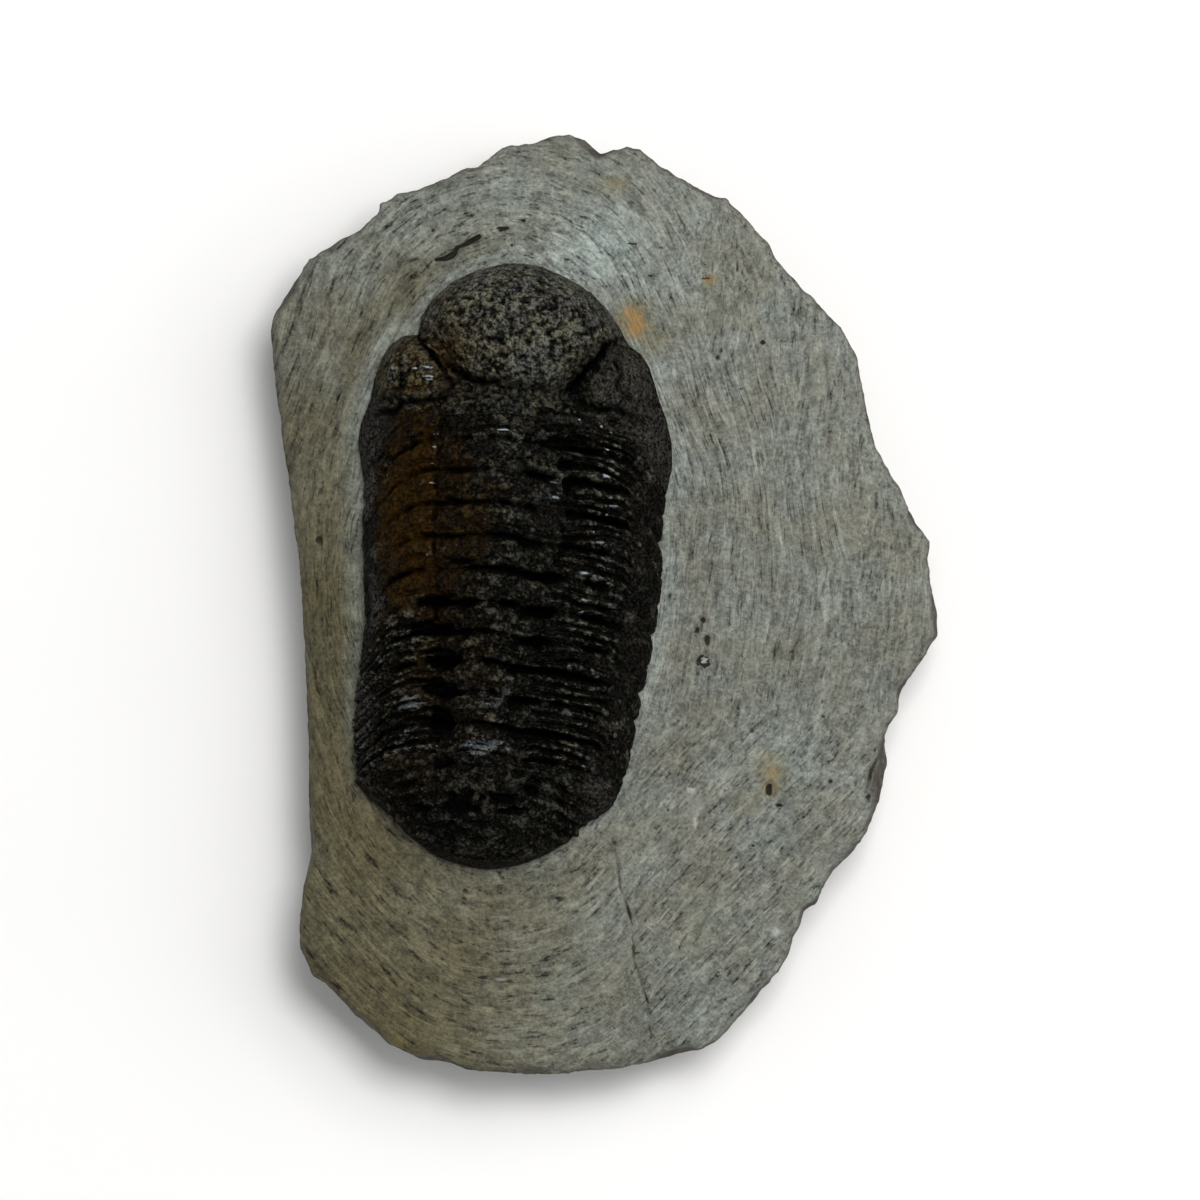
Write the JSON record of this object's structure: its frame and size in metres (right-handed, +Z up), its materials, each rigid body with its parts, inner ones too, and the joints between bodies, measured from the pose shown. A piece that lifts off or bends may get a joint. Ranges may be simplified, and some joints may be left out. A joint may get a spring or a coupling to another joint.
{
  "type": "trilobite fossil",
  "caption": "Phacopid trilobite fossil lying on its loose slab of grey limestone, with separate head shield, trunk plates and tail shield.",
  "frame": {"origin": "on the flat base, under the middle of the slab's bounding box", "axes": "+X to the right seen from above, +Y along the slab towards the trilobite's head, +Z up out of the scraped top"},
  "size_m": [0.0836, 0.1178, 0.0352],
  "materials": {
    "limestone": "matte, scraped in fine strokes, with rust stains",
    "shell": "dark brown to black calcite, half gloss on the ridges"
  },
  "bodies": {
    "root": {"matrix": "limestone", "cephalon": "shell", "thorax_segment_01": "shell", "thorax_segment_02": "shell", "thorax_segment_03": "shell", "thorax_segment_04": "shell", "thorax_segment_05": "shell", "thorax_segment_06": "shell", "thorax_segment_07": "shell", "thorax_segment_08": "shell", "thorax_segment_09": "shell", "thorax_segment_10": "shell", "thorax_segment_11": "shell", "pygidium": "shell"}
  },
  "joints": []
}
